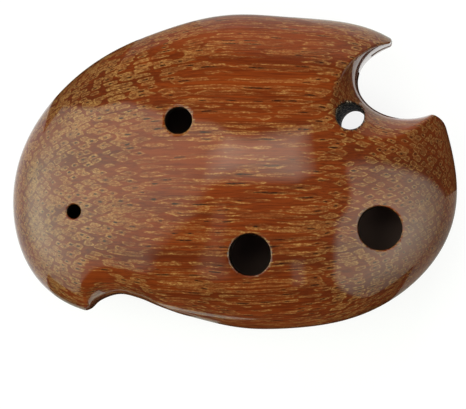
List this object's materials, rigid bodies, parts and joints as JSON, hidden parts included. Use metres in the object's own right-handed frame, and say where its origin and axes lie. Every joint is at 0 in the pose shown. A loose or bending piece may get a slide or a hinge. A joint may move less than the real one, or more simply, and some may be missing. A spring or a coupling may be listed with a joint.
{
  "type": "pendant ocarina",
  "caption": "Egg-shaped hardwood pendant ocarina with front finger holes, thumb holes, a horn mouthpiece beside a round bite, a cord hole and a scooped finger rest.",
  "frame": {"origin": "centre of the body's box at its lowest point, where the back's resting flat lies on the table", "axes": "+X along the body's length towards the horn and the heel, +Y across the body towards the horn's side, +Z out of the face with the finger holes"},
  "size_m": [0.092, 0.0652, 0.0273],
  "materials": {
    "lacquered_hardwood": "high-gloss clear lacquer over reddish brown open-pored hardwood",
    "bare_hardwood": "bare sanded hardwood"
  },
  "bodies": {
    "root": {"front_shell": "lacquered_hardwood", "back_shell": "lacquered_hardwood", "fipple_block": "bare_hardwood"}
  },
  "joints": []
}
